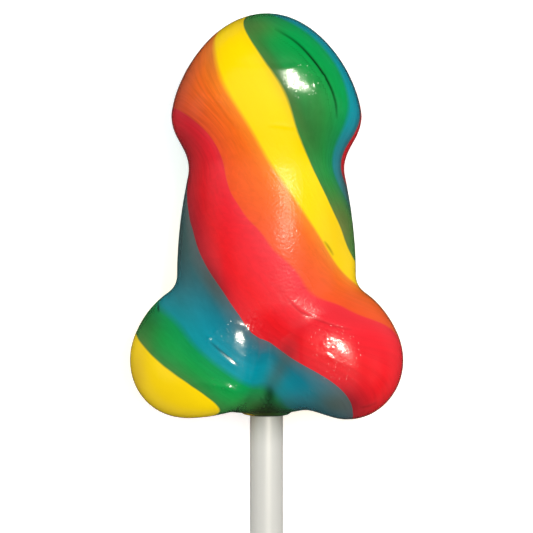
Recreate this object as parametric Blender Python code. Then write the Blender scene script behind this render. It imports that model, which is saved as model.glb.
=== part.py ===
"""A novelty lollipop of twisted rainbow hard candy on a plastic stick, lying on its back.

The candy is one pressed lump: a domed head over a groove, a shaft that widens downwards, and two
round lobes with a cleft between them. Its outline is symmetric, its front a little uneven. Ten
strands of five colours run round it in a slow twist from the tip to the stick. The shown side
faces +Z, the tip points to +Y and the stick to -Y. Metres throughout the scene; the sizes below
are in millimetres and are scaled once, when a point is placed.
"""

import math

import bmesh
import bpy

MM = 0.001

# Overall sizes, in mm. Heights along the candy are counted from its stick end.
STICK_LENGTH = 130.0
STICK_RADIUS = 3.0
STICK_IN_CANDY = 35.0
STICK_ROUNDING = 0.5
STICK_SIDES = 32
SOCKET_CLEARANCE = 0.3
BACK_FLAT = 11.7

# Head: a dome that comes to a blunt tip, on a rounder underside. Its front and back stand out most a
# little nearer the tip than its rim does.
HEAD_HEIGHT = 54.7
HEAD_LIFT = 4.2
HEAD_HALF_WIDTH = 17.45
HEAD_HALF_THICKNESS = 12.0
HEAD_RISE = 18.74
HEAD_TIP_SHAPE = 1.52
HEAD_DROP = 11.75
HEAD_SQUARENESS = 2.7
HEAD_SCALE = 14.0
CANDY_LENGTH = HEAD_HEIGHT + HEAD_RISE

# Shaft: an oval bar, widest at its foot, whose front and back bend in twice: below the neck, and
# between the lobes.
SHAFT_FOOT = 26.0
SHAFT_NECK = 46.0
SHAFT_START = 8.0
SHAFT_END = 60.0
SHAFT_HALF_WIDTH = 16.45
SHAFT_WIDTH_LOSS = 2.45
SHAFT_TAPER_SHAPE = 1.87
SHAFT_HALF_THICKNESS = 11.3
SHAFT_BEND_LOW = 29.0
SHAFT_BEND_HIGH = 43.0
SHAFT_BEND_LOSS = 1.3
SHAFT_KNEE_HIGH = 21.0
SHAFT_KNEE_LOW = 8.0
SHAFT_KNEE_LOSS = 5.0
SHAFT_SQUARENESS = 2.1

# Lobes: two drop shapes that lean up towards the shaft. Their flattened front and back lie closer
# together than their rims, and a little lower.
LOBE_ACROSS = 14.55
LOBE_HEIGHT = 11.2
LOBE_RADIUS = 10.3
LOBE_RISE = 14.05
LOBE_DROP = 11.35
LOBE_TILT = math.radians(22.0)
LOBE_HALF_THICKNESS = 12.0
LOBE_SQUARENESS = 2.8
LEFT_LEAN = 6.8
RIGHT_LEAN = 2.6
LEFT_SINK = 2.0
RIGHT_SINK = 3.0

# Root: the bulk between the lobes that holds the stick, with a crease up its front and back, and the
# thin rim round the stick.
ROOT_ACROSS = -0.8
ROOT_HEIGHT = 10.9
ROOT_HALF_WIDTH = 12.6
ROOT_HALF_LENGTH = 10.25
ROOT_HALF_THICKNESS = 8.9
ROOT_SQUARENESS = 3.2
CREASE_ACROSS = 0.5
CREASE_DEPTH = 1.2
CREASE_REACH = 7.0
RIM_RADIUS = 4.0
RIM_TOP = 6.0
RIM_LIP = 0.5

# How far out, as a share of the half thickness, the forms go on changing. It is past the surface.
DEPTH_LIMIT = 1.2

# Widths of the soft joins between those forms. The joins over the lobes widen away from the rim.
JOIN_HEAD = 3.5
JOIN_LOBES = 1.5
JOIN_ROOT = 2.5
JOIN_ROOT_WIDENING = 2.5
JOIN_BASE = 1.75
JOIN_BASE_WIDENING = 1.0
JOIN_RIM = 1.2

# The surface is drawn out from a spine inside the candy: rows fan out over both ends.
SPINE_LOW = 14.0
SPINE_HIGH = 55.0
FAN_LOW = 1.6
FAN_HIGH = 1.9
REACH = 34.0
REACH_STEPS = 34
HALVINGS = 18
ROWS = 60
COLUMNS_PER_STRAND = 7

# The twist: which strand border is at the middle of the front, against the share of the length.
STRANDS = 10
TWIST = ((0.0, 7.6), (0.05, 7.0), (0.136, 6.0), (0.21, 5.0), (0.44, 4.0), (0.727, 3.0),
         (0.882, 2.0), (0.98, 1.1), (1.0, 0.9))
FRONT_STRETCH = 0.2

# sRGB colours of the strands, in their order round the candy, and of the stick.
STRAND_COLOURS = (
    ("candy_blue", (0.00, 0.52, 0.60)),
    ("candy_green", (0.02, 0.56, 0.25)),
    ("candy_yellow", (0.99, 0.86, 0.02)),
    ("candy_orange", (0.95, 0.44, 0.13)),
    ("candy_red", (0.90, 0.12, 0.15)),
)
STICK_COLOUR = (0.86, 0.86, 0.83)


def clear_scene():
    for thing in list(bpy.data.objects):
        bpy.data.objects.remove(thing, do_unlink=True)


def linear(channel):
    """Turn one sRGB channel to linear light."""
    return channel / 12.92 if channel <= 0.04045 else ((channel + 0.055) / 1.055) ** 2.4


def make_material(name, colour, roughness):
    material = bpy.data.materials.new(name)
    material.use_nodes = True
    shader = material.node_tree.nodes["Principled BSDF"]
    shader.inputs["Base Color"].default_value = (*(linear(c) for c in colour), 1.0)
    shader.inputs["Roughness"].default_value = roughness
    shader.inputs["Metallic"].default_value = 0.0
    return material


def soft_join(a, b, width):
    """The lower of two gaps, with the corner between them rounded over a width."""
    share = min(max(0.5 + 0.5 * (b - a) / width, 0.0), 1.0)
    return b + (a - b) * share - width * share * (1.0 - share)


def smooth_step(start, end, value):
    """0 up to the start and 1 from the end on, with no corner at either."""
    share = min(max((value - start) / (end - start), 0.0), 1.0)
    return share**2 * (3.0 - 2.0 * share)


def depth_share(z, half_thickness):
    """How far a point is from the middle plane, as a share of a form's half thickness."""
    return min(abs(z) / half_thickness, DEPTH_LIMIT)


def oval(x, z, half_width, half_thickness, squareness):
    """1 on an oval of the given half sizes, less inside and more outside."""
    total = abs(x / half_width) ** squareness + abs(z / half_thickness) ** squareness
    return total ** (1.0 / squareness)


# Each gap function is about the distance in mm from a point to one form, negative inside it.


def head_gap(x, s, z):
    past = s - HEAD_HEIGHT - HEAD_LIFT * depth_share(z, HEAD_HALF_THICKNESS) ** 3
    if past > 0:
        along = (past / HEAD_RISE) ** HEAD_TIP_SHAPE
    else:
        along = (past / HEAD_DROP) ** 2
    outline = math.sqrt((x / HEAD_HALF_WIDTH) ** 2 + along)
    return (oval(outline, z, 1.0, HEAD_HALF_THICKNESS, HEAD_SQUARENESS) - 1.0) * HEAD_SCALE


def shaft_gap(x, s, z):
    share = min(max((s - SHAFT_FOOT) / (SHAFT_NECK - SHAFT_FOOT), 0.0), 1.4)
    half_width = SHAFT_HALF_WIDTH - SHAFT_WIDTH_LOSS * share**SHAFT_TAPER_SHAPE
    bend = SHAFT_BEND_LOSS * smooth_step(SHAFT_BEND_LOW, SHAFT_BEND_HIGH, s)
    knee = SHAFT_KNEE_LOSS * smooth_step(SHAFT_KNEE_HIGH, SHAFT_KNEE_LOW, s)
    half_thickness = SHAFT_HALF_THICKNESS - bend - knee
    side = (oval(x, z, half_width, half_thickness, SHAFT_SQUARENESS) - 1.0) * half_width
    return max(side, s - SHAFT_END, SHAFT_START - s)


def lobe_gap(x, s, z, side, lean, sink):
    depth = depth_share(z, LOBE_HALF_THICKNESS)
    across = side * x - (LOBE_ACROSS - lean * depth**2)
    along = s - (LOBE_HEIGHT - sink * depth**2)
    turn, rise = math.cos(LOBE_TILT), math.sin(LOBE_TILT)
    across, along = across * turn + along * rise, along * turn - across * rise
    half_length = LOBE_RISE if along > 0 else LOBE_DROP
    outline = math.hypot(across / LOBE_RADIUS, along / half_length)
    return (oval(outline, z, 1.0, LOBE_HALF_THICKNESS, LOBE_SQUARENESS) - 1.0) * LOBE_RADIUS


def root_gap(x, s, z):
    away = smooth_step(0.0, CREASE_REACH, abs(x - CREASE_ACROSS))
    half_thickness = ROOT_HALF_THICKNESS + CREASE_DEPTH * away
    outline = oval(x - ROOT_ACROSS, s - ROOT_HEIGHT, ROOT_HALF_WIDTH, ROOT_HALF_LENGTH, ROOT_SQUARENESS)
    return (oval(outline, z, 1.0, half_thickness, ROOT_SQUARENESS) - 1.0) * ROOT_HALF_LENGTH


def rim_gap(x, s, z):
    below = max(RIM_LIP - s, 0.0) / RIM_LIP * RIM_RADIUS
    above = max(s - RIM_TOP, 0.0)
    return math.sqrt(x**2 + z**2 + below**2 + above**2) - RIM_RADIUS


def candy_gap(x, s, z):
    left = lobe_gap(x, s, z, -1, LEFT_LEAN, LEFT_SINK)
    right = lobe_gap(x, s, z, 1, RIGHT_LEAN, RIGHT_SINK)
    lobes = soft_join(left, right, JOIN_LOBES)
    depth = depth_share(z, LOBE_HALF_THICKNESS)
    base = soft_join(lobes, root_gap(x, s, z), JOIN_ROOT + JOIN_ROOT_WIDENING * depth**2)
    upper = soft_join(head_gap(x, s, z), shaft_gap(x, s, z), JOIN_HEAD)
    whole = soft_join(upper, base, JOIN_BASE + JOIN_BASE_WIDENING * depth**2)
    return soft_join(whole, rim_gap(x, s, z), JOIN_RIM)


def surface_point(share, angle):
    """The point of the candy's surface on one ray out of its spine, in mm.

    share runs from 0 at the stick to 1 at the tip; angle is 0 at the right edge and a quarter turn
    at the middle of the front.
    """
    start = SPINE_LOW + (SPINE_HIGH - SPINE_LOW) * share
    fan = 2.0 * share - 1.0
    slope = (fan**FAN_HIGH if fan > 0 else -((-fan) ** FAN_LOW)) * math.pi / 2
    dx, ds, dz = math.cos(slope) * math.cos(angle), math.sin(slope), math.cos(slope) * math.sin(angle)
    inside, outside = 0.0, REACH
    for step in range(1, REACH_STEPS + 1):
        outside = REACH * step / REACH_STEPS
        if candy_gap(outside * dx, start + outside * ds, outside * dz) > 0:
            break
        inside = outside
    for _ in range(HALVINGS):
        middle = (inside + outside) / 2
        if candy_gap(middle * dx, start + middle * ds, middle * dz) > 0:
            outside = middle
        else:
            inside = middle
    return inside * dx, start + inside * ds, inside * dz


def front_border(share):
    """Which strand border lies at the middle of the front, at a share of the length."""
    for (low, low_value), (high, high_value) in zip(TWIST, TWIST[1:]):
        if share <= high:
            part = (share - low) / (high - low)
            return low_value + (high_value - low_value) * part
    return TWIST[-1][1]


def strand_angle(strand, share):
    """The angle round the spine of a place on the strands, wider on the front than on the back."""
    even = math.pi / 2 + (strand - front_border(share)) * 2 * math.pi / STRANDS
    return even - FRONT_STRETCH * math.cos(even)


def place(x, s, z):
    """A point in mm, height counted from the candy's stick end, as metres in the part's frame."""
    middle = (CANDY_LENGTH + STICK_LENGTH - STICK_IN_CANDY) / 2
    return (x * MM, (s + STICK_LENGTH - STICK_IN_CANDY - middle) * MM, (max(z, -BACK_FLAT) + BACK_FLAT) * MM)


def make_candy():
    """The pressed lump: a sphere's grid with its columns laid along the strands."""
    columns = STRANDS * COLUMNS_PER_STRAND
    bm = bmesh.new()
    bmesh.ops.create_uvsphere(bm, u_segments=columns, v_segments=ROWS, radius=1.0)
    strand_of = {}
    for vertex in bm.verts:
        x, y, z = vertex.co
        share = 1.0 - math.acos(min(max(z, -1.0), 1.0)) / math.pi
        strand = math.atan2(y, x) / (2 * math.pi) * STRANDS % STRANDS
        strand_of[vertex] = strand if math.hypot(x, y) > 1e-6 else None
        vertex.co = place(*surface_point(share, strand_angle(strand, share)))
    for face in bm.faces:
        turns = [strand_of[v] / STRANDS * 2 * math.pi for v in face.verts if strand_of[v] is not None]
        middle = math.atan2(sum(map(math.sin, turns)), sum(map(math.cos, turns)))
        strand = int(middle / (2 * math.pi) * STRANDS % STRANDS)
        face.material_index = strand % len(STRAND_COLOURS)
        face.smooth = True
    bmesh.ops.recalc_face_normals(bm, faces=bm.faces)
    bmesh.ops.triangulate(bm, faces=bm.faces)
    mesh = bpy.data.meshes.new("candy")
    bm.to_mesh(mesh)
    bm.free()
    for name, colour in STRAND_COLOURS:
        mesh.materials.append(make_material(name, colour, 0.15))
    candy = bpy.data.objects.new("candy", mesh)
    bpy.context.collection.objects.link(candy)
    return candy


def make_rod(name, radius, low, high, rounding):
    """A round rod along Y between two heights, with its end edges rounded."""
    bm = bmesh.new()
    bmesh.ops.create_cone(
        bm,
        cap_ends=True,
        segments=STICK_SIDES,
        radius1=radius,
        radius2=radius,
        depth=high - low,
    )
    if rounding:
        ends = [edge for edge in bm.edges if abs(edge.verts[0].co.z - edge.verts[1].co.z) < 1e-6]
        bmesh.ops.bevel(bm, geom=ends, offset=rounding, segments=3, profile=0.5, affect="EDGES")
    for vertex in bm.verts:
        x, y, z = vertex.co
        vertex.co = place(x, z + (low + high) / 2, y)
    bmesh.ops.recalc_face_normals(bm, faces=bm.faces)
    mesh = bpy.data.meshes.new(name)
    bm.to_mesh(mesh)
    bm.free()
    mesh.shade_smooth()
    mesh.set_sharp_from_angle(angle=math.radians(40))
    rod = bpy.data.objects.new(name, mesh)
    bpy.context.collection.objects.link(rod)
    return rod


def make_stick():
    """The solid plastic stick, more than a quarter of it set in the candy."""
    stick = make_rod("stick", STICK_RADIUS, STICK_IN_CANDY - STICK_LENGTH, STICK_IN_CANDY, STICK_ROUNDING)
    stick.data.materials.append(make_material("stick_plastic", STICK_COLOUR, 0.35))
    return stick


def cut_socket(candy):
    """The blind hole that the stick is cast into, a little wider and deeper than the stick."""
    radius = STICK_RADIUS + SOCKET_CLEARANCE
    cutter = make_rod("socket_cutter", radius, -2.0, STICK_IN_CANDY + SOCKET_CLEARANCE, 0.0)
    cutter.hide_render = True
    cutter.display_type = "WIRE"
    cut = candy.modifiers.new("socket", "BOOLEAN")
    cut.operation = "DIFFERENCE"
    cut.solver = "EXACT"
    cut.object = cutter


def main():
    clear_scene()
    candy = make_candy()
    make_stick()
    cut_socket(candy)


main()
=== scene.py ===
import bpy
import bmesh
import math
import numpy as np
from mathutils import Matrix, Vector, noise


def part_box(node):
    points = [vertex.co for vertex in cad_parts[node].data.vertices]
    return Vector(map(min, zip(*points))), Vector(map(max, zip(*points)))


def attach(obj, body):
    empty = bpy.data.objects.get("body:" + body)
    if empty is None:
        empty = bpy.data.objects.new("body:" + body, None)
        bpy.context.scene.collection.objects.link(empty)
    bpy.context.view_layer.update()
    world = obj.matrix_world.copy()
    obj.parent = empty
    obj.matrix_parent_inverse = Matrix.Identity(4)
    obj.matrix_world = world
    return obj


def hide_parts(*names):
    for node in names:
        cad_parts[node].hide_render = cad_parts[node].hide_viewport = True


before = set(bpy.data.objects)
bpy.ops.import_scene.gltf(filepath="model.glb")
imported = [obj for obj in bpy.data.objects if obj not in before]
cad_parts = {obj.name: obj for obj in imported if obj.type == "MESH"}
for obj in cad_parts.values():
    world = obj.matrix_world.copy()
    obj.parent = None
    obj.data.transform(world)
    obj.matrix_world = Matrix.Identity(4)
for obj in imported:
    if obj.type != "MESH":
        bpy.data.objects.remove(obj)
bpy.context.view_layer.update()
mm = 0.001
print("frame loaded")


def toLinear(hexColour):
    parts = [int(hexColour[i:i + 2], 16) / 255 for i in (1, 3, 5)]
    return tuple(c / 12.92 if c <= 0.04045 else ((c + 0.055) / 1.055) ** 2.4 for c in parts) + (1.0,)


def addNode(tree, kind, settings=None, links=None):
    node = tree.nodes.new(kind)
    for name, value in (settings or {}).items():
        if isinstance(name, int) or name in node.inputs:
            node.inputs[name].default_value = value
        else:
            setattr(node, name, value)
    for name, source in (links or {}).items():
        tree.links.new(source, node.inputs[name])
    return node


def newMaterial(name):
    material = bpy.data.materials.new(name)
    material.use_nodes = True
    material.node_tree.nodes.clear()
    return material, material.node_tree


def linkObject(name, data):
    thing = bpy.data.objects.new(name, data)
    bpy.context.collection.objects.link(thing)
    return thing


# where the candy and the stick lie in the frame
candyLength = 73.44            # mm from the stick end to the tip
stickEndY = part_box("candy")[1][1] - candyLength * mm
midHeight = (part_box("stick")[0][2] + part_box("stick")[1][2]) / 2


def toFrame(x, s, z):          # mm across, up from the stick end and out of the middle plane
    return Vector((x * mm, s * mm + stickEndY, z * mm + midHeight))


# camera and light
camera = {
    "focal": 135.0,            # mm on a 36 mm sensor, a long product lens
    "pxPerMm": 5.5,            # the photo's scale where the outline lies
    "frameSide": 533.0,        # px
    "middleUp": 27.4,          # mm above the stick end at the middle of the photo
}


def makeCamera():
    data = bpy.data.cameras.new("camera")
    data.lens = camera["focal"]
    data.sensor_width = 36.0
    data.clip_start = 0.01
    away = camera["frameSide"] / camera["pxPerMm"] * data.lens / data.sensor_width
    thing = linkObject("camera", data)
    thing.location = toFrame(0.0, camera["middleUp"], away)
    bpy.context.scene.camera = thing


studio = {
    "aimUp": 35.4,             # mm above the stick end, where the lights point
    "keyTurn": 16.0,           # degrees to the right of straight above
    "keyLift": 14.0,           # degrees towards the tip
    "keyAway": 0.75, "keySize": 0.09, "keyPower": 1.9, "keyColour": "#fff8e6",
    "fillTurn": 4.0, "fillLift": 4.0,
    "fillAway": 0.9, "fillSize": 1.1, "fillPower": 5.5,
    "sideTurn": 58.0, "sideAway": 0.8, "sideSize": 0.5, "sidePower": 2.4,
    "floor": "#f4f4f2", "floorSide": 3.0, "floorGlow": 0.5,
    "sky": 0.03, "ground": 0.02,
    "horizon": (-0.15, 0.25),  # where the ground's light ends and the sky's is whole
}


def makeSoftbox(name, turn, lift, away, size, power, colour="#ffffff"):
    data = bpy.data.lights.new(name, "AREA")
    data.shape = "DISK"
    data.size = size
    data.energy = power
    data.color = toLinear(colour)[:3]
    lamp = linkObject(name, data)
    aim = toFrame(0.0, studio["aimUp"], 0.0)
    right, up = math.radians(turn), math.radians(lift)
    way = Vector((math.tan(right), math.tan(up), 1.0)).normalized()
    lamp.location = aim + way * away
    lamp.rotation_euler = way.to_track_quat("Z", "Y").to_euler()
    return lamp


def makeStudio():
    makeSoftbox("keyLight", studio["keyTurn"], studio["keyLift"], studio["keyAway"],
                studio["keySize"], studio["keyPower"], studio["keyColour"])
    fills = [makeSoftbox("fillLight", studio["fillTurn"], studio["fillLift"], studio["fillAway"],
                         studio["fillSize"], studio["fillPower"])]
    for name, side in (("leftLight", -1), ("rightLight", 1)):
        fills.append(makeSoftbox(name, side * studio["sideTurn"], 0.0, studio["sideAway"],
                                 studio["sideSize"], studio["sidePower"]))
    for lamp in fills:
        lamp.visible_glossy = False    # the gloss shows the one key light alone

    bm = bmesh.new()
    bmesh.ops.create_grid(bm, x_segments=1, y_segments=1, size=studio["floorSide"] / 2)
    mesh = bpy.data.meshes.new("floor")
    bm.to_mesh(mesh)
    bm.free()
    floor = linkObject("floor", mesh)
    material, tree = newMaterial("opalAcrylic")        # a table lit from below, so that shadows stay faint
    shader = addNode(tree, "ShaderNodeBsdfPrincipled",
                     {"Base Color": toLinear(studio["floor"]), "Roughness": 0.9,
                      "Emission Color": (1, 1, 1, 1), "Emission Strength": studio["floorGlow"]})
    addNode(tree, "ShaderNodeOutputMaterial", {}, {"Surface": shader.outputs["BSDF"]})
    mesh.materials.append(material)
    floor.visible_glossy = False       # dark edges, as where black flags stand round a glossy thing

    world = bpy.data.worlds.new("studioRoom")
    bpy.context.scene.world = world
    world.use_nodes = True
    tree = world.node_tree
    tree.nodes.clear()
    place = addNode(tree, "ShaderNodeTexCoord")
    split = addNode(tree, "ShaderNodeSeparateXYZ", {}, {0: place.outputs["Generated"]})
    low, high = studio["horizon"]
    level = addNode(tree, "ShaderNodeMapRange",
                    {"From Min": low, "From Max": high, "To Min": studio["ground"],
                     "To Max": studio["sky"]}, {"Value": split.outputs["Z"]})
    back = addNode(tree, "ShaderNodeBackground", {"Color": (1, 1, 1, 1)},
                   {"Strength": level.outputs["Result"]})
    addNode(tree, "ShaderNodeOutputWorld", {}, {"Surface": back.outputs["Background"]})

    bpy.context.scene.view_settings.view_transform = "Standard"


makeCamera()
makeStudio()
print("camera, lights and floor made")

# the candy's form, in mm, as the solid has it
head = {"up": 54.7, "halfWidth": 17.45, "halfThick": 12.0, "lift": 4.2, "rise": 18.74, "tipShape": 1.52,
        "drop": 11.75, "square": 2.7, "scale": 14.0}
shaft = {"foot": 26.0, "neck": 46.0, "start": 8.0, "end": 60.0, "halfWidth": 16.45, "widthLoss": 2.45,
         "taper": 1.87, "taperLimit": 1.4, "halfThick": 11.3, "bendLow": 29.0, "bendHigh": 43.0,
         "bendLoss": 1.3, "kneeHigh": 21.0, "kneeLow": 8.0, "kneeLoss": 5.0, "square": 2.1}
lobe = {"across": 14.55, "up": 11.2, "radius": 10.3, "rise": 14.05, "drop": 11.35,
        "tilt": math.radians(22.0), "halfThick": 12.0, "leftLean": 6.8, "rightLean": 2.6, "leftSink": 2.0,
        "rightSink": 3.0, "square": 2.8}
root = {"across": -0.8, "up": 10.9, "halfWidth": 12.6, "halfLength": 10.25, "halfThick": 8.9,
        "square": 3.2, "creaseAcross": 0.5, "creaseDepth": 1.2, "creaseReach": 7.0}
rim = {"radius": 4.0, "top": 6.0, "lip": 0.5}
joins = {"head": 3.5, "lobes": 1.5, "root": 2.5, "rootWidening": 2.5, "base": 1.75, "baseWidening": 1.0,
         "rim": 1.2}
spine = {"low": 14.0, "high": 55.0, "fanLow": 1.6, "fanHigh": 1.9, "reach": 34.0, "steps": 34,
         "halvings": 16, "shareHalvings": 24, "frontReach": 16.0}
depthLimit = 1.2               # times the half thickness, past the surface


def softJoin(a, b, width):
    share = np.clip(0.5 + 0.5 * (b - a) / width, 0, 1)
    return b + (a - b) * share - width * share * (1 - share)


def smoothStep(start, end, value):
    share = np.clip((value - start) / (end - start), 0, 1)
    return share ** 2 * (3 - 2 * share)


def depthShare(z, halfThick):
    return np.minimum(np.abs(z) / halfThick, depthLimit)


def oval(x, z, halfWidth, halfThick, square):
    return (np.abs(x / halfWidth) ** square + np.abs(z / halfThick) ** square) ** (1 / square)


def headGap(x, s, z):
    past = s - head["up"] - head["lift"] * depthShare(z, head["halfThick"]) ** 3
    along = np.where(past > 0, np.abs(past / head["rise"]) ** head["tipShape"], (past / head["drop"]) ** 2)
    outline = np.sqrt((x / head["halfWidth"]) ** 2 + along)
    return (oval(outline, z, 1.0, head["halfThick"], head["square"]) - 1) * head["scale"]


def shaftGap(x, s, z):
    share = np.clip((s - shaft["foot"]) / (shaft["neck"] - shaft["foot"]), 0, shaft["taperLimit"])
    halfWidth = shaft["halfWidth"] - shaft["widthLoss"] * share ** shaft["taper"]
    bend = shaft["bendLoss"] * smoothStep(shaft["bendLow"], shaft["bendHigh"], s)
    knee = shaft["kneeLoss"] * smoothStep(shaft["kneeHigh"], shaft["kneeLow"], s)
    halfThick = shaft["halfThick"] - bend - knee
    side = (oval(x, z, halfWidth, halfThick, shaft["square"]) - 1) * halfWidth
    return np.maximum(np.maximum(side, s - shaft["end"]), shaft["start"] - s)


def lobeGap(x, s, z, side, lean, sink):
    depth = depthShare(z, lobe["halfThick"])
    across = side * x - (lobe["across"] - lean * depth ** 2)
    along = s - (lobe["up"] - sink * depth ** 2)
    turn, lift = math.cos(lobe["tilt"]), math.sin(lobe["tilt"])
    across, along = across * turn + along * lift, along * turn - across * lift
    halfLength = np.where(along > 0, lobe["rise"], lobe["drop"])
    outline = np.hypot(across / lobe["radius"], along / halfLength)
    return (oval(outline, z, 1.0, lobe["halfThick"], lobe["square"]) - 1) * lobe["radius"]


def rootGap(x, s, z):
    away = smoothStep(0, root["creaseReach"], np.abs(x - root["creaseAcross"]))
    halfThick = root["halfThick"] + root["creaseDepth"] * away
    outline = oval(x - root["across"], s - root["up"], root["halfWidth"], root["halfLength"],
                   root["square"])
    return (oval(outline, z, 1.0, halfThick, root["square"]) - 1) * root["halfLength"]


def rimGap(x, s, z):
    below = np.maximum(rim["lip"] - s, 0) / rim["lip"] * rim["radius"]
    above = np.maximum(s - rim["top"], 0)
    return np.sqrt(x ** 2 + z ** 2 + below ** 2 + above ** 2) - rim["radius"]


def candyGap(x, s, z):
    left = lobeGap(x, s, z, -1, lobe["leftLean"], lobe["leftSink"])
    right = lobeGap(x, s, z, 1, lobe["rightLean"], lobe["rightSink"])
    depth = depthShare(z, lobe["halfThick"])
    rootJoin = joins["root"] + joins["rootWidening"] * depth ** 2
    base = softJoin(softJoin(left, right, joins["lobes"]), rootGap(x, s, z), rootJoin)
    upper = softJoin(headGap(x, s, z), shaftGap(x, s, z), joins["head"])
    whole = softJoin(upper, base, joins["base"] + joins["baseWidening"] * depth ** 2)
    return softJoin(whole, rimGap(x, s, z), joins["rim"])


def spineRay(share):
    fan = 2 * share - 1
    power = np.where(fan > 0, spine["fanHigh"], spine["fanLow"])
    slope = np.sign(fan) * np.abs(fan) ** power * math.pi / 2
    return spine["low"] + (spine["high"] - spine["low"]) * share, slope


def homeIn(low, high, isPast, halvings):     # the last value before the one where isPast turns true
    for _ in range(halvings):
        middle = (low + high) / 2
        past = isPast(middle)
        low, high = np.where(past, low, middle), np.where(past, middle, high)
    return low


def surfacePoints(share, angle):     # where rays out of the spine leave the candy
    start, slope = spineRay(share)
    dx, ds, dz = np.cos(slope) * np.cos(angle), np.sin(slope), np.cos(slope) * np.sin(angle)
    inside, outside = np.zeros_like(share), np.full_like(share, spine["reach"])
    found = np.zeros(share.shape, bool)
    for step in range(1, spine["steps"] + 1):
        reach = np.full_like(share, spine["reach"] * step / spine["steps"])
        gap = candyGap(reach * dx, start + reach * ds, reach * dz)
        outside = np.where((gap > 0) & ~found, reach, outside)
        found |= gap > 0
        inside = np.where(found, inside, reach)

    def isPast(reach):
        return candyGap(reach * dx, start + reach * ds, reach * dz) > 0

    reach = homeIn(inside, outside, isPast, spine["halvings"])
    return reach * dx, start + reach * ds, reach * dz


def frontHeight(x, s):               # how far the front stands out at a place in the front view
    return homeIn(np.zeros_like(x), np.full_like(x, spine["frontReach"]),
                  lambda z: candyGap(x, s, z) > 0, spine["halvings"])


def shareOf(x, s, z):                # which row of rays a surface point lies on
    radius = np.hypot(x, z)

    def isPast(share):
        start, slope = spineRay(share)
        return np.cos(slope) * (s - start) <= np.sin(slope) * radius

    return homeIn(np.zeros_like(x), np.ones_like(x), isPast, spine["shareHalvings"])


def outward(x, s, z, step=0.05):     # the surface's normals
    slopes = []
    for dx, ds, dz in ((step, 0, 0), (0, step, 0), (0, 0, step)):
        slopes.append(candyGap(x + dx, s + ds, z + dz) - candyGap(x - dx, s - ds, z - dz))
    slopes = np.stack(slopes, axis=1)
    return slopes / np.linalg.norm(slopes, axis=1, keepdims=True)


# the coloured strands: ten round the candy, five colours twice over
strands = {
    "count": 10,
    "frontStretch": 0.2,       # how much wider they are on the front than on the back
    "stretchSteps": 8,         # rounds that the stretch is worked out in
    # how far up the candy from 0 to 1, and the strand at the middle of the front there
    "twist": ((0.0, 7.6), (0.05, 7.0), (0.136, 6.0), (0.21, 5.0), (0.44, 4.0), (0.727, 3.0),
              (0.882, 2.0), (0.98, 1.1), (1.0, 0.9)),
    "twistBlur": 0.04,
    "pullReach": 10.0,         # mm round a drawn place that the strands are pulled over
    "pullSlack": 0.02,         # how far the pull may miss a drawn place
    "pullFade": (-9.5, 3.0),   # mm from the middle plane, where the pulls begin and are whole
    "spaceRadius": 16.0,       # mm, of the round bar that the patterns are laid on
}
# mm across and up from the stick end. A whole number is the border before that strand, and a
# number between two borders is a place within a strand.
strandPlaces = {
    0.0: ((16.6, 57.9), (17.0, 53.7), (15.7, 50.5), (13.9, 48.2), (13.5, 46.0), (14.5, 41.6)),
    1.0: ((2.5, 72.0), (6.5, 69.8), (9.8, 66.9), (12.8, 62.7), (14.5, 59.3), (14.5, 55.5), (13.5, 51.1),
          (12.3, 48.2), (12.8, 44.6), (14.0, 40.7)),
    1.7: ((15.3, 36.0), (15.9, 31.5)),
    2.0: ((-4.3, 70.4), (-2.8, 67.4), (-0.4, 63.7), (1.8, 60.1), (3.7, 56.7), (5.0, 53.0), (5.9, 49.1),
          (8.6, 43.7), (10.5, 39.7), (12.2, 35.8), (13.8, 31.9), (15.9, 27.3)),
    3.0: ((-8.6, 69.8), (-9.3, 66.9), (-8.6, 62.0), (-5.7, 56.4), (-3.8, 53.0), (-1.4, 49.3), (2.4, 43.3),
          (7.1, 36.5), (11.5, 30.0), (15.9, 25.4)),
    3.7: ((-13.4, 66.0), (-16.2, 60.5)),
    4.0: ((-16.1, 55.5), (-13.0, 53.1), (-9.4, 49.8), (-8.5, 47.6), (-7.4, 43.0), (-5.9, 39.3),
          (-3.4, 35.8), (1.3, 29.5), (5.4, 24.4), (9.0, 21.5), (13.9, 19.4), (18.9, 17.7), (22.8, 15.6),
          (24.6, 13.1)),
    4.2: ((24.3, 8.0), (20.5, 14.0)),
    4.45: ((19.4, 8.5), (21.5, 3.5)),
    5.0: ((-14.6, 41.4), (-14.1, 37.3), (-13.1, 32.8), (-11.7, 28.9), (-9.6, 25.5), (-6.9, 21.5),
          (-2.9, 16.4), (0.7, 13.5), (4.0, 11.5), (7.3, 9.5), (10.6, 7.5), (13.3, 5.5), (14.9, 3.2)),
    6.0: ((-19.8, 21.0), (-17.5, 18.7), (-14.8, 16.1), (-12.5, 12.8), (-9.2, 10.5), (-5.2, 7.5),
          (-1.3, 5.5), (0.5, 6.0), (2.7, 1.9), (5.0, 0.9)),
    6.5: ((0.0, 2.5), (-3.5, 2.0)),
    6.7: ((-5.0, 0.9),),
    7.0: ((-23.7, 15.5), (-21.4, 12.4), (-18.5, 9.8), (-14.2, 7.1), (-10.9, 4.5), (-7.9, 2.2)),
}


def evenStrand(share, angle):        # the strand that an even twist puts at a place
    even = angle
    for _ in range(strands["stretchSteps"]):
        even = angle + strands["frontStretch"] * np.cos(even)
    shares, values = zip(*strands["twist"])
    blur = strands["twistBlur"]
    middle = np.mean([np.interp(share + d * blur, shares, values) for d in (-1, -0.5, 0, 0.5, 1)], axis=0)
    return middle + (even - math.pi / 2) / (2 * math.pi) * strands["count"]


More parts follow.
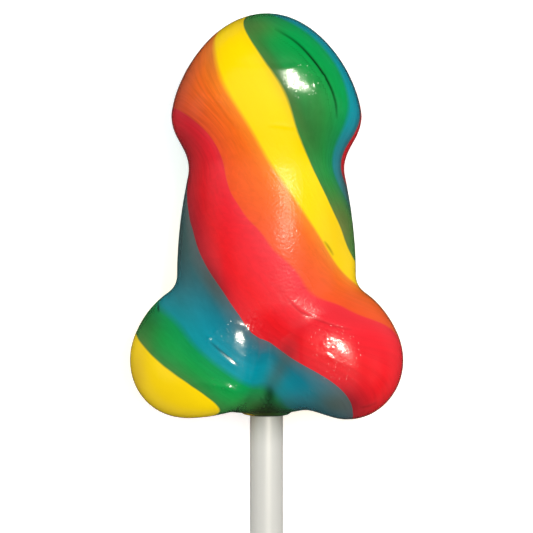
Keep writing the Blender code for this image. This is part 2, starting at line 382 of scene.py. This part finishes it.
def strandPulls():                   # weights that carry the even twist onto the drawn places
    places, numbers = [], []
    for number, points in strandPlaces.items():
        places += points
        numbers += [number] * len(points)
    x, s = np.array(places).T
    z = frontHeight(x, s)
    off = np.array(numbers) - evenStrand(shareOf(x, s, z), np.arctan2(z, x))
    anchors = np.stack((x, s, z), axis=1)
    apart = np.linalg.norm(anchors[:, None] - anchors[None], axis=2)
    pull = np.exp(-(apart / strands["pullReach"]) ** 2) + strands["pullSlack"] * np.eye(len(x))
    return anchors, np.linalg.solve(pull, off)


def strandAt(share, angle, points):
    anchors, weights = strandPulls()
    value = evenStrand(share, angle)
    fade = smoothStep(*strands["pullFade"], points[:, 2])
    for anchor, weight in zip(anchors, weights):
        apart = np.linalg.norm(points - anchor, axis=1)
        value = value + fade * weight * np.exp(-(apart / strands["pullReach"]) ** 2)
    return value


# soft places on the front: mm across and up, half length, half width, turn from upright, strength
deepToneAndSideShadePlaces = (                 # where the colour is deeper and greyer: partly the sugar's own deep tone, partly painted shade along the sides and round the stick
    (-15.0, 33.0, 12.0, 5.0, 4.0, 1.0),       # left side of the shaft
    (-9.6, 24.6, 5.0, 2.0, 30.0, 0.8),        # over the left lobe, beside the red
    (15.2, 38.0, 10.0, 4.4, -6.0, 1.0),       # right side of the shaft
    (2.2, 60.0, 13.0, 1.4, 28.0, 0.35),       # green beside the yellow
    (9.5, 53.0, 7.0, 3.4, 10.0, 0.35),        # green under the head's gleam
    (-1.0, 70.5, 2.5, 3.5, 0.0, 0.6),         # tip
    (-16.4, 61.0, 9.0, 3.6, -16.0, 0.95),     # left side of the head
    (-9.8, 64.5, 4.0, 1.1, 4.0, 0.5),
    (-15.2, 48.0, 7.0, 4.0, 0.0, 0.95),       # left side of the neck
    (-18.0, 4.0, 7.0, 8.0, 0.0, 0.3),         # yellow of the left lobe
    (-23.5, 8.0, 6.0, 2.2, -10.0, 0.8),
    (-22.0, 18.0, 4.0, 3.0, 40.0, 0.35),
    (0.5, 1.3, 3.2, 5.5, 0.0, 1.0),           # round the stick
    (12.5, 3.0, 3.0, 5.5, 0.0, 1.0),
    (2.2, 9.0, 7.0, 1.6, -25.0, 0.7),         # blue beside the red, between the lobes
)
dullPlaces = (                 # where the gloss is broken up
    (3.4, 36.0, 10.0, 4.6, -6.0, 1.0),
    (6.5, 24.0, 8.0, 5.0, 30.0, 0.8),
    (-1.0, 18.0, 3.0, 3.5, 0.0, 0.5),
    (12.0, 12.0, 6.0, 6.0, 0.0, 0.25),
    (8.3, 19.0, 3.0, 3.5, 30.0, 0.6),
    (3.0, 43.5, 6.0, 5.0, 0.0, 0.9),
)
crazedPlaces = (               # where fine wrinkles break the gloss into sparks
    (-4.8, 13.8, 3.5, 3.0, 0.0, 1.0),
    (12.6, 12.0, 4.0, 3.5, 0.0, 1.0),
    (-1.3, 17.2, 3.2, 2.2, 30.0, 1.0),
    (9.8, 12.5, 3.0, 1.6, 10.0, 1.0),
    (7.0, 60.0, 3.0, 2.5, 0.0, 0.6),
    (-8.0, 6.4, 1.2, 2.5, 0.0, 1.0),
    (7.5, 4.6, 2.5, 2.0, 0.0, 0.7),
    (-9.5, 57.0, 3.0, 3.0, 0.0, 0.8),
)
flatPlaces = (                 # where the front is a little flatter, or fuller, and how much in mm
    (6.3, 61.2, 3.2, 3.2, 0.0, 0.07),
    (-5.2, 14.0, 5.0, 2.6, 0.0, 0.23),
    (3.5, 37.5, 6.0, 6.0, 0.0, -0.30),
)
flowPlaces = (                 # where the pull lines in the sugar show
    (-10.5, 56.0, 9.0, 6.0, -10.0, 0.9),
    (-13.0, 43.0, 10.0, 4.0, 0.0, 0.8),
    (12.0, 43.0, 10.0, 3.5, -12.0, 1.0),
    (4.0, 62.0, 10.0, 5.0, 25.0, 0.35),
    (17.0, 4.0, 4.0, 6.0, 0.0, 0.5),
    (-12.0, 9.0, 5.0, 5.0, 45.0, 0.4),
)
darkToneAndShadePlaces = (                # where the colour is darkened: partly the sugar's own dark tone, partly painted shade along the left edges and in the hollow round the stick
    (0.3, 0.8, 1.4, 6.5, 0.0, 0.45),
    (12.8, 2.6, 2.6, 5.5, 0.0, 0.22),
    (0.2, 1.6, 2.2, 3.0, 0.0, 0.80),
    (0.6, 4.4, 2.0, 0.9, 0.0, 0.80),
    (-16.6, 33.0, 10.0, 1.6, 4.0, 0.30),
    (-9.6, 24.4, 4.0, 1.4, 30.0, 0.25),
    (-22.0, 18.5, 4.0, 2.4, 40.0, 0.40),
    (9.3, 51.5, 5.0, 3.2, 15.0, 0.25),
    (2.6, 60.5, 13.0, 1.3, 28.0, 0.25),
)
# folds and scars on the front: mm points from end to end, depth and half width of the groove, the height
# and offset of the lip beside it, and how dark the painted shade line along the groove is
scars = (
    {"points": ((1.5, 69.6), (4.7, 67.6), (7.0, 65.5), (9.4, 62.6), (11.3, 59.4), (12.3, 56.4),
                (12.6, 53.4)), "groove": (0.10, 0.20), "lip": (0.05, 0.35), "dark": 1.0},
    {"points": ((0.3, 52.3), (2.6, 52.2), (5.0, 51.8)),
     "groove": (-0.12, 0.25), "lip": (0.0, 0.3), "dark": 0.0},
    {"points": ((3.7, 21.7), (6.0, 19.4), (9.0, 18.1), (12.3, 16.9), (15.3, 16.2)),
     "groove": (0.05, 0.25), "lip": (0.03, 0.5), "dark": 0.30},
    {"points": ((-4.8, 9.9), (-7.4, 12.0), (-10.0, 14.2)),
     "groove": (0.07, 0.18), "lip": (0.14, 0.5), "dark": 0.6},
    {"points": ((-2.6, 16.4), (-1.9, 15.6), (-1.3, 14.7)),
     "groove": (-0.07, 0.25), "lip": (0.0, 0.3), "dark": 0.0},
    {"points": ((-13.5, 7.1), (-9.9, 6.8), (-7.2, 6.2), (-4.5, 5.0)),
     "groove": (-0.34, 0.50), "lip": (0.0, 0.3), "dark": 0.0},
    {"points": ((-19.5, 20.9), (-19.6, 20.1), (-19.4, 19.3)),
     "groove": (0.06, 0.15), "lip": (0.0, 0.3), "dark": 0.7},
    {"points": ((10.3, 32.0), (11.2, 30.8), (12.1, 29.3)),
     "groove": (0.06, 0.12), "lip": (0.0, 0.3), "dark": 0.6},
    {"points": ((0.6, 14.4), (0.7, 12.6), (0.5, 10.7)),
     "groove": (0.10, 0.45), "lip": (0.08, 0.9), "dark": 0.0},
    {"points": ((16.3, 2.4), (18.0, 2.5), (19.8, 3.2)),
     "groove": (0.07, 0.2), "lip": (0.06, 0.45), "dark": 0.2},
)
# blisters from trapped air: mm across and up, radius, height
blisters = (
    (-9.0, 16.0, 0.45, 0.20), (-10.2, 14.6, 0.55, 0.35), (11.5, 7.6, 0.45, 0.13), (4.2, 13.5, 0.35, 0.08),
    (9.7, 6.8, 0.40, 0.12), (6.3, 4.5, 0.40, 0.12), (7.4, 4.7, 0.40, 0.12), (8.3, 5.0, 0.45, 0.12),
    (9.9, 62.4, 0.35, 0.10), (10.2, 61.0, 0.60, 0.20), (9.3, 59.8, 0.95, 0.28), (12.6, 61.6, 0.30, 0.09),
    (7.5, 51.4, 0.35, 0.10), (8.2, 50.6, 0.40, 0.12), (8.8, 51.0, 0.30, 0.09), (10.8, 48.9, 0.40, 0.12),
    (-9.8, 56.5, 0.35, 0.11), (-9.1, 57.1, 0.30, 0.10), (-8.3, 57.3, 0.35, 0.11), (-7.8, 57.6, 0.28, 0.09),
    (-5.7, 52.0, 0.35, 0.10), (-9.7, 51.1, 0.30, 0.10), (-0.7, 3.9, 0.45, 0.32), (0.2, 3.8, 0.45, 0.32),
    (-0.2, 3.0, 0.40, 0.30), (0.7, 3.0, 0.40, 0.30), (-0.5, 2.2, 0.40, 0.30), (-0.1, 1.4, 0.40, 0.25),
)
blisterFields = (              # mm across and up of the middle, half sizes, how many
    (10.7, 13.2, 1.1, 3.0, 12),
    (-1.9, 17.1, 1.5, 1.3, 12),
    (-9.3, 5.6, 1.6, 0.8, 5),
)


def softPlace(x, s, place):
    across, up, length, width, turn, strength = place
    turn = math.radians(turn)
    u = (x - across) * math.sin(turn) + (s - up) * -math.cos(turn)
    v = (x - across) * math.cos(turn) + (s - up) * math.sin(turn)
    return strength * np.exp(-(u / length) ** 2 - (v / width) ** 2)


def softPlaces(x, s, places):
    left = np.ones_like(x)
    for place in places:
        left *= 1 - softPlace(x, s, place)
    return 1 - left


def smoothLine(points, steps=8):     # a curve through the points
    points = np.array(points)
    points = np.vstack((2 * points[0] - points[1], points, 2 * points[-1] - points[-2]))
    line = []
    for a, b, c, d in zip(points, points[1:], points[2:], points[3:]):
        for t in np.linspace(0, 1, steps, endpoint=False):
            line.append(0.5 * (2 * b + (c - a) * t + (2 * a - 5 * b + 4 * c - d) * t ** 2
                               + (3 * b - a - 3 * c + d) * t ** 3))
    return np.array(line + [points[-2]])


def lineGap(x, s, line):             # signed distance from a line, and how far along it
    nearest, signed, along = np.full_like(x, np.inf), np.zeros_like(x), np.zeros_like(x)
    for i, (a, b) in enumerate(zip(line, line[1:])):
        way = b - a
        t = np.clip(((x - a[0]) * way[0] + (s - a[1]) * way[1]) / (way @ way), 0, 1)
        dx, ds = x - a[0] - t * way[0], s - a[1] - t * way[1]
        apart = np.hypot(dx, ds)
        closer = apart < nearest
        nearest = np.where(closer, apart, nearest)
        signed = np.where(closer, np.copysign(apart, way[0] * ds - way[1] * dx), signed)
        along = np.where(closer, (i + t) / (len(line) - 1), along)
    return signed, along


def scarMarks(x, s):                 # relief in mm, the gap to the nearest painted shade line in a groove and its strength
    height, grooveShade = np.zeros_like(x), np.zeros_like(x)
    lineDistance = np.full_like(x, candy["lineReach"])
    end = candy["scarEnd"]
    for scar in scars:
        gap, along = lineGap(x, s, smoothLine(scar["points"]))
        fade = np.sqrt(np.sin(np.clip(along, end, 1 - end) * math.pi)) * ((along > 0) & (along < 1))
        (depth, width), (lip, offset) = scar["groove"], scar["lip"]
        height += fade * (lip * np.exp(-((gap - offset) / (candy["lipSpread"] * offset)) ** 2)
                          - depth * np.exp(-(gap / width) ** 2))
        near = np.abs(gap) < np.abs(lineDistance)
        lineDistance = np.where(near, gap, lineDistance)
        grooveShade = np.where(near, scar["dark"] * fade, grooveShade)
    return height, lineDistance, grooveShade


def blisterMarks(x, s):
    draw = np.random.default_rng(candy["seed"])
    places = list(blisters)
    for across, up, halfWidth, halfHeight, count in blisterFields:
        for _ in range(count):
            dx, ds = draw.uniform(-1, 1, 2)
            radius = draw.uniform(*candy["blisterRadius"])
            places.append((across + dx * halfWidth, up + ds * halfHeight, radius,
                           radius * candy["blisterRise"]))
    height = np.zeros_like(x)
    for across, up, radius, rise in places:
        share = np.clip(1 - ((x - across) ** 2 + (s - up) ** 2) / radius ** 2, 0, 1)
        height += rise * share ** candy["blisterShape"]
    return height


# the candy's surface
candy = {
    "columns": 280, "rows": 354,
    "frontDensity": 0.42,      # how much closer the columns lie on the front than on the sides
    "waves": ((9.0, 0.03), (3.4, 0.014), (1.6, 0.007)),        # mm long, mm high
    "dullWave": (1.1, 0.010), "crazedWave": (1.3, 0.025),      # the same, in places
    "flowAcross": 1.1, "flowAlong": 16.0, "flowDepth": 0.02,
    "frontFade": (-6.0, 2.0),  # mm from the middle plane, where the front's marks begin and are whole
    "backDeep": 0.25,          # how deep and grey the colour is on the back
    "allFlow": 0.12,           # how much the pull lines show everywhere
    "lineReach": 1.2,          # mm from a scar that its painted shade line is measured
    "scarEnd": 0.02,           # share of a scar at each end that is blunt
    "lipSpread": 0.7,          # a lip's half width, times its offset
    "blisterRadius": (0.22, 0.42), "blisterRise": 0.28, "blisterShape": 1.5,
    "backFlat": 11.7,          # mm behind the middle plane, where the back rests
    "sink": 0.20,              # mm that the whole surface is held back, so that no wave leaves the solid
    "seed": 4,
}


def noiseAt(points, length, shift):
    offset = Vector((shift, 2 * shift, 3 * shift))
    return np.array([noise.noise(Vector(p) + offset) for p in points / length])


def makeCandy():
    bm = bmesh.new()
    bmesh.ops.create_uvsphere(bm, u_segments=candy["columns"], v_segments=candy["rows"], radius=1.0)
    balls = np.array([v.co for v in bm.verts])
    share = 1 - np.arccos(np.clip(balls[:, 2], -1, 1)) / math.pi
    column = np.arctan2(balls[:, 1], balls[:, 0])
    angle = column + candy["frontDensity"] * np.cos(column)
    x, s, z = surfacePoints(share, angle)
    points = np.stack((x, s, z), axis=1)
    normals = outward(x, s, z)
    strand = strandAt(share, angle, points)
    around = strand / strands["count"] * 2 * math.pi
    space = np.stack((np.cos(around) * strands["spaceRadius"], np.sin(around) * strands["spaceRadius"],
                      share * candyLength), axis=1)
    print("candy form worked out")

    low, high = candy["frontFade"]
    front = np.clip((z - low) / (high - low), 0, 1)
    deepToneAndSideShade = candy["backDeep"] + (softPlaces(x, s, deepToneAndSideShadePlaces) - candy["backDeep"]) * front
    dull = softPlaces(x, s, dullPlaces) * front
    flow = candy["allFlow"] + softPlaces(x, s, flowPlaces) * front
    # painted shade, partly the sugar's own dark tone
    shade = softPlaces(x, s, darkToneAndShadePlaces) * front
    scarHeight, lineDistance, grooveShade = scarMarks(x, s)
    shown = (z > 0).astype(float)
    height = -candy["sink"] + (scarHeight + blisterMarks(x, s)) * shown
    for length, depth in candy["waves"]:
        height += depth * noiseAt(points, length, length)
    height -= sum(softPlace(x, s, place) for place in flatPlaces) * front
    crazed = softPlaces(x, s, crazedPlaces) * front
    for wave, strength in (("dullWave", dull), ("crazedWave", crazed)):
        length, depth = candy[wave]
        height += depth * strength * noiseAt(points, length, length)
    flowScale = np.array((1 / candy["flowAcross"], 1 / candy["flowAcross"], 1 / candy["flowAlong"]))
    height += candy["flowDepth"] * noiseAt(space * flowScale, 1.0, 0.0)
    points = points + normals * height[:, None]
    points[:, 2] = np.maximum(points[:, 2], -candy["backFlat"])
    print("candy relief made")

    spaceLayer = bm.verts.layers.float_vector.new("strandSpace")
    markLayer = bm.verts.layers.float_vector.new("surfaceMarks")       # deep tone and painted side shade, dull, flow lines
    lineLayer = bm.verts.layers.float_vector.new("paintedShadeMarks")          # mm from a painted groove-shade line, its strength, painted shade
    sparkLayer = bm.verts.layers.float.new("sparkMark")
    marks = np.stack((deepToneAndSideShade, dull, flow), axis=1)
    lines = np.stack((lineDistance, grooveShade * shown, shade), axis=1)
    for i, vertex in enumerate(bm.verts):
        vertex.co = toFrame(*points[i])
        vertex[spaceLayer] = space[i]
        vertex[markLayer] = marks[i]
        vertex[lineLayer] = lines[i]
        vertex[sparkLayer] = crazed[i]
    bmesh.ops.recalc_face_normals(bm, faces=bm.faces)
    mesh = bpy.data.meshes.new("twistedCandy")
    bm.to_mesh(mesh)
    bm.free()
    mesh.shade_smooth()
    thing = linkObject("twistedCandy", mesh)
    mesh.materials.append(makeCandyMaterial())
    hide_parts("candy")
    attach(thing, "root")
    print("candy made,", len(mesh.vertices), "points")


# hard boiled sugar, pulled, twisted and pressed: deep clear colour under a wet-looking gloss
candyFinish = {
    # strands past a red to blue border, the colour there where light gets through the sugar, where it is
    # deep (also used as painted shade on the sides), and how much the flow lines show
    "colours": (
        (0.00, "#5a6670", "#59615f", 0.8), (0.10, "#3f6b79", "#546260", 0.8),
        (0.26, "#08788c", "#42605f", 0.8), (0.55, "#008fa3", "#435f5d", 0.8),
        (0.90, "#0093a0", "#3c6f6c", 0.8), (1.00, "#06937c", "#336c58", 0.9),
        (1.09, "#029a50", "#33724a", 1.0), (1.50, "#009f48", "#4f7a3a", 1.0),
        (1.80, "#149545", "#647038", 1.0), (1.985, "#2a8740", "#77763c", 1.0),
        (2.00, "#ffdb00", "#e6c01c", 0.15), (2.94, "#ffd700", "#ddb022", 0.2),
        (3.01, "#fba818", "#cc8c32", 0.5), (3.07, "#f78420", "#c36e32", 0.8),
        (3.40, "#f46c1c", "#be5832", 1.0), (3.80, "#f26026", "#bb482f", 1.0),
        (3.985, "#f15829", "#b8422c", 1.0),
        (4.00, "#ef3540", "#b82834", 0.9), (4.12, "#ee2834", "#b8222d", 0.9),
        (4.50, "#ed1b23", "#b41d26", 0.9), (4.985, "#dc1f29", "#8f242e", 0.9),
    ),
    # patterns that run with the strands: mm across and along, detail and bend
    "sway": (3.0, 12.0, 2.0, 0.0), "streak": (0.5, 4.0, 3.0, 0.5), "cloud": (0.8, 1.28, 4.0, 0.6),
    "patternRoughness": 0.55,
    "wander": 0.04,            # strands that a border sways to each side
    # the noise where a streak or a cloud begins and is whole, how strong it is, and how light
    "streakRange": (0.42, 0.78), "streakDark": 0.5, "streakLight": 0.5,
    "cloudRange": (0.35, 0.75), "cloudDark": 0.12,
    "lineWidth": 0.40,         # mm from a scar to where its painted shade line ends
    "paintedShadeLight": 0.12,         # how light the painted shade in a groove and in a shade place is, times the colour
    "grain": 0.5, "grainBump": 0.04, "dullBump": 0.55, "bumpDistance": 0.1, "streakBump": 0.5,
    "roughness": 0.19, "dullRoughness": 0.30, "ior": 1.5, "specularLevel": 0.36,
    "glaze": 0.8, "glazeRoughness": 0.10,
    "bubble": 0.85, "bubbleBump": 0.28,        # mm from one tiny bubble to the next, and their height
    "bubbleRound": (0.05, 0.45),               # share of that spacing where a bubble falls away
}


def strandNoise(tree, space, pattern):
    across, along, detail, bend = candyFinish[pattern]
    scaled = addNode(tree, "ShaderNodeVectorMath",
                     {"operation": "MULTIPLY", 1: (1 / across, 1 / across, 1 / along)}, {0: space})
    made = addNode(tree, "ShaderNodeTexNoise",
                   {"Scale": 1.0, "Detail": detail, "Roughness": candyFinish["patternRoughness"],
                    "Distortion": bend}, {"Vector": scaled.outputs[0]})
    return made.outputs["Fac"]


def strandRamp(tree, shared, column):
    ramp = addNode(tree, "ShaderNodeValToRGB", {}, {"Fac": shared})
    stops = ramp.color_ramp.elements
    for i, stopRow in enumerate(candyFinish["colours"]):
        stop = stops[i] if i < 2 else stops.new(1.0)
        stop.position = stopRow[0] / (strands["count"] / 2)
        stop.color = toLinear(stopRow[column])[:3] + (stopRow[3],)
    return ramp


def mixValue(tree, low, high, factor):
    return addNode(tree, "ShaderNodeMapRange", {"To Min": low, "To Max": high},
                   {"Value": factor}).outputs["Result"]


def readMark(tree, name):            # what each point of the candy carries, whole and split in three
    mark = addNode(tree, "ShaderNodeAttribute", {"attribute_name": name}).outputs["Vector"]
    split = addNode(tree, "ShaderNodeSeparateXYZ", {}, {0: mark})
    return [mark] + [split.outputs[axis] for axis in "XYZ"]


def makeCandyMaterial():
    material, tree = newMaterial("boiledSugar")
    space, spaceX, spaceY, _ = readMark(tree, "strandSpace")
    _, deepToneAndSideShade, dull, flow = readMark(tree, "surfaceMarks")
    _, lineDistance, grooveShade, paintedShadeAmount = readMark(tree, "paintedShadeMarks")
    spark = addNode(tree, "ShaderNodeAttribute", {"attribute_name": "sparkMark"}).outputs["Fac"]

    turn = addNode(tree, "ShaderNodeMath", {"operation": "ARCTAN2"}, {0: spaceY, 1: spaceX})
    number = addNode(tree, "ShaderNodeMath",
                     {"operation": "MULTIPLY", 1: strands["count"] / (2 * math.pi)}, {0: turn.outputs[0]})
    sway = strandNoise(tree, space, "sway")
    swayed = addNode(tree, "ShaderNodeMath", {"operation": "MULTIPLY_ADD", 1: 2 * candyFinish["wander"]},
                     {0: sway, 2: number.outputs[0]})
    centred = addNode(tree, "ShaderNodeMath", {"operation": "SUBTRACT", 1: candyFinish["wander"]},
                      {0: swayed.outputs[0]})
    period = strands["count"] / 2
    wrapped = addNode(tree, "ShaderNodeMath", {"operation": "FLOORED_MODULO", 1: period},
                      {0: centred.outputs[0]})
    shared = addNode(tree, "ShaderNodeMath", {"operation": "DIVIDE", 1: period}, {0: wrapped.outputs[0]})
    # the deep colours, mixed in by the deep mask: the sugar's own deep tone, and painted shade along the
    # sides
    clear, deeper = strandRamp(tree, shared.outputs[0], 1), strandRamp(tree, shared.outputs[0], 2)
    base = addNode(tree, "ShaderNodeMix", {"data_type": "RGBA"},
                   {0: deepToneAndSideShade, 6: clear.outputs["Color"], 7: deeper.outputs["Color"]})

    streak = strandNoise(tree, space, "streak")
    low, high = candyFinish["streakRange"]
    shade = addNode(tree, "ShaderNodeMapRange",
                    {"From Min": low, "From Max": high, "To Max": candyFinish["streakDark"]},
                    {"Value": streak})
    flowed = addNode(tree, "ShaderNodeMath", {"operation": "MULTIPLY"},
                     {0: flow, 1: clear.outputs["Alpha"]})
    shade = addNode(tree, "ShaderNodeMath", {"operation": "MULTIPLY"},
                    {0: shade.outputs["Result"], 1: flowed.outputs[0]})
    darker = addNode(tree, "ShaderNodeHueSaturation", {"Value": candyFinish["streakLight"]},
                     {"Color": base.outputs[2]})
    streaked = addNode(tree, "ShaderNodeMix", {"data_type": "RGBA"},
                       {0: shade.outputs[0], 6: base.outputs[2], 7: darker.outputs["Color"]})
    low, high = candyFinish["cloudRange"]
    cloudy = addNode(tree, "ShaderNodeMapRange",
                     {"From Min": low, "From Max": high, "To Max": candyFinish["cloudDark"]},
                     {"Value": strandNoise(tree, space, "cloud")})
    loss = addNode(tree, "ShaderNodeMath", {"operation": "MULTIPLY"},
                   {0: cloudy.outputs["Result"], 1: clear.outputs["Alpha"]})
    kept = addNode(tree, "ShaderNodeMath", {"operation": "SUBTRACT", 0: 1.0}, {1: loss.outputs[0]})
    mottled = addNode(tree, "ShaderNodeHueSaturation", {},
                      {"Color": streaked.outputs[2], "Value": kept.outputs[0]})
    # painted shade: darker along the groove lines and in the shade places
    gap = addNode(tree, "ShaderNodeMath", {"operation": "ABSOLUTE"}, {0: lineDistance})
    line = addNode(tree, "ShaderNodeMapRange",
                   {"interpolation_type": "SMOOTHSTEP", "From Max": candyFinish["lineWidth"],
                    "To Min": 1.0, "To Max": 0.0}, {"Value": gap.outputs[0]})
    lineShade = addNode(tree, "ShaderNodeMath", {"operation": "MULTIPLY_ADD", "use_clamp": True},
                        {0: line.outputs["Result"], 1: grooveShade, 2: paintedShadeAmount})
    paintedShadeColour = addNode(tree, "ShaderNodeHueSaturation", {"Value": candyFinish["paintedShadeLight"]},
                         {"Color": base.outputs[2]})
    colour = addNode(tree, "ShaderNodeMix", {"data_type": "RGBA"},
                     {0: lineShade.outputs[0], 6: mottled.outputs["Color"], 7: paintedShadeColour.outputs["Color"]})

    place = addNode(tree, "ShaderNodeTexCoord")
    grain = addNode(tree, "ShaderNodeTexNoise",
                    {"Scale": 1 / (candyFinish["grain"] * mm), "Detail": 2.0},
                    {"Vector": place.outputs["Object"]})
    rough = addNode(tree, "ShaderNodeMath", {"operation": "MULTIPLY_ADD", 1: candyFinish["streakBump"]},
                    {0: streak, 2: grain.outputs["Fac"]})
    bump = addNode(tree, "ShaderNodeBump", {"Distance": candyFinish["bumpDistance"] * mm},
                   {"Height": rough.outputs[0],
                    "Strength": mixValue(tree, candyFinish["grainBump"], candyFinish["dullBump"], dull)})
    cells = addNode(tree, "ShaderNodeTexVoronoi", {"Scale": 1 / (candyFinish["bubble"] * mm)},
                    {"Vector": place.outputs["Object"]})
    low, high = candyFinish["bubbleRound"]
    domes = addNode(tree, "ShaderNodeMapRange",
                    {"interpolation_type": "SMOOTHERSTEP", "From Min": low, "From Max": high,
                     "To Min": 1.0, "To Max": 0.0}, {"Value": cells.outputs["Distance"]})
    bubbles = addNode(tree, "ShaderNodeBump", {"Distance": candyFinish["bubbleBump"] * mm},
                      {"Height": domes.outputs["Result"], "Strength": spark,
                       "Normal": bump.outputs["Normal"]})
    roughness = mixValue(tree, candyFinish["roughness"], candyFinish["dullRoughness"], dull)
    shader = addNode(tree, "ShaderNodeBsdfPrincipled",
                     {"IOR": candyFinish["ior"], "Coat IOR": candyFinish["ior"],
                      "Specular IOR Level": candyFinish["specularLevel"],
                      "Coat Roughness": candyFinish["glazeRoughness"]},
                     {"Base Color": colour.outputs[2], "Normal": bump.outputs["Normal"],
                      "Coat Normal": bubbles.outputs["Normal"], "Roughness": roughness,
                      "Coat Weight": mixValue(tree, candyFinish["glaze"], 0.0, dull)})
    addNode(tree, "ShaderNodeOutputMaterial", {}, {"Surface": shader.outputs["BSDF"]})
    return material


makeCandy()

# the stick: a solid rod of milky plastic, pressed out of a die that leaves faint lines along it
stick = {
    "radius": 3.0, "length": 130.0, "inCandy": 35.0,           # mm
    "rounding": 0.5, "roundingSteps": 4, "sides": 96, "sharpDegrees": 50.0,
    "colour": "#d9d9d4", "shadedColour": "#a9aa9f",            # painted shadow: greyer where it goes into the candy
    "shadedUp": (-6.0, 2.5),                                   # mm from the candy's end
    "lineAcross": 0.35, "lineAlong": 20.0, "lineHeight": 0.012,
    "roughness": 0.45, "ior": 1.9, "specular": 0.9, "skin": 1.0, "skinRoughness": 0.38,
}


def makeStickMaterial():
    material, tree = newMaterial("milkyPolypropylene")
    place = addNode(tree, "ShaderNodeTexCoord").outputs["Object"]
    up = addNode(tree, "ShaderNodeSeparateXYZ", {}, {0: place}).outputs["Y"]
    # painted shadow of the candy on the stick's top
    low, high = (stickEndY + edge * mm for edge in stick["shadedUp"])
    shaded = addNode(tree, "ShaderNodeMapRange",
                     {"interpolation_type": "SMOOTHSTEP", "From Min": low, "From Max": high}, {"Value": up})
    tint = addNode(tree, "ShaderNodeMix",
                   {"data_type": "RGBA", 6: toLinear(stick["colour"]), 7: toLinear(stick["shadedColour"])},
                   {0: shaded.outputs["Result"]})
    across, along = 1 / (stick["lineAcross"] * mm), 1 / (stick["lineAlong"] * mm)
    drawn = addNode(tree, "ShaderNodeVectorMath",
                    {"operation": "MULTIPLY", 1: (across, along, across)}, {0: place})
    lines = addNode(tree, "ShaderNodeTexNoise", {"Scale": 1.0, "Detail": 2.0},
                    {"Vector": drawn.outputs[0]})
    bump = addNode(tree, "ShaderNodeBump", {"Distance": stick["lineHeight"] * mm},
                   {"Height": lines.outputs["Fac"]}).outputs["Normal"]
    shader = addNode(tree, "ShaderNodeBsdfPrincipled",
                     {"Roughness": stick["roughness"], "IOR": stick["ior"],
                      "Specular IOR Level": stick["specular"], "Coat Weight": stick["skin"],
                      "Coat Roughness": stick["skinRoughness"], "Coat IOR": stick["ior"]},
                     {"Base Color": tint.outputs[2], "Normal": bump, "Coat Normal": bump})
    addNode(tree, "ShaderNodeOutputMaterial", {}, {"Surface": shader.outputs["BSDF"]})
    return material


def makeStick():
    bm = bmesh.new()
    bmesh.ops.create_cone(bm, cap_ends=True, segments=stick["sides"], radius1=stick["radius"],
                          radius2=stick["radius"], depth=stick["length"])
    ends = [e for e in bm.edges if abs(e.verts[0].co.z - e.verts[1].co.z) < 1e-6]
    bmesh.ops.bevel(bm, geom=ends, offset=stick["rounding"], segments=stick["roundingSteps"],
                    profile=0.5, affect="EDGES", material=-1)
    middle = stick["inCandy"] - stick["length"] / 2
    for vertex in bm.verts:
        x, y, z = vertex.co
        vertex.co = toFrame(x, z + middle, y)
    bmesh.ops.recalc_face_normals(bm, faces=bm.faces)
    mesh = bpy.data.meshes.new("stickRod")
    bm.to_mesh(mesh)
    bm.free()
    mesh.shade_smooth()
    mesh.set_sharp_from_angle(angle=math.radians(stick["sharpDegrees"]))
    thing = linkObject("stickRod", mesh)
    mesh.materials.append(makeStickMaterial())
    thing.visible_glossy = False       # so that the thick rim round it looks as dark as it is
    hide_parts("stick")
    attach(thing, "root")
    print("stick made")


makeStick()
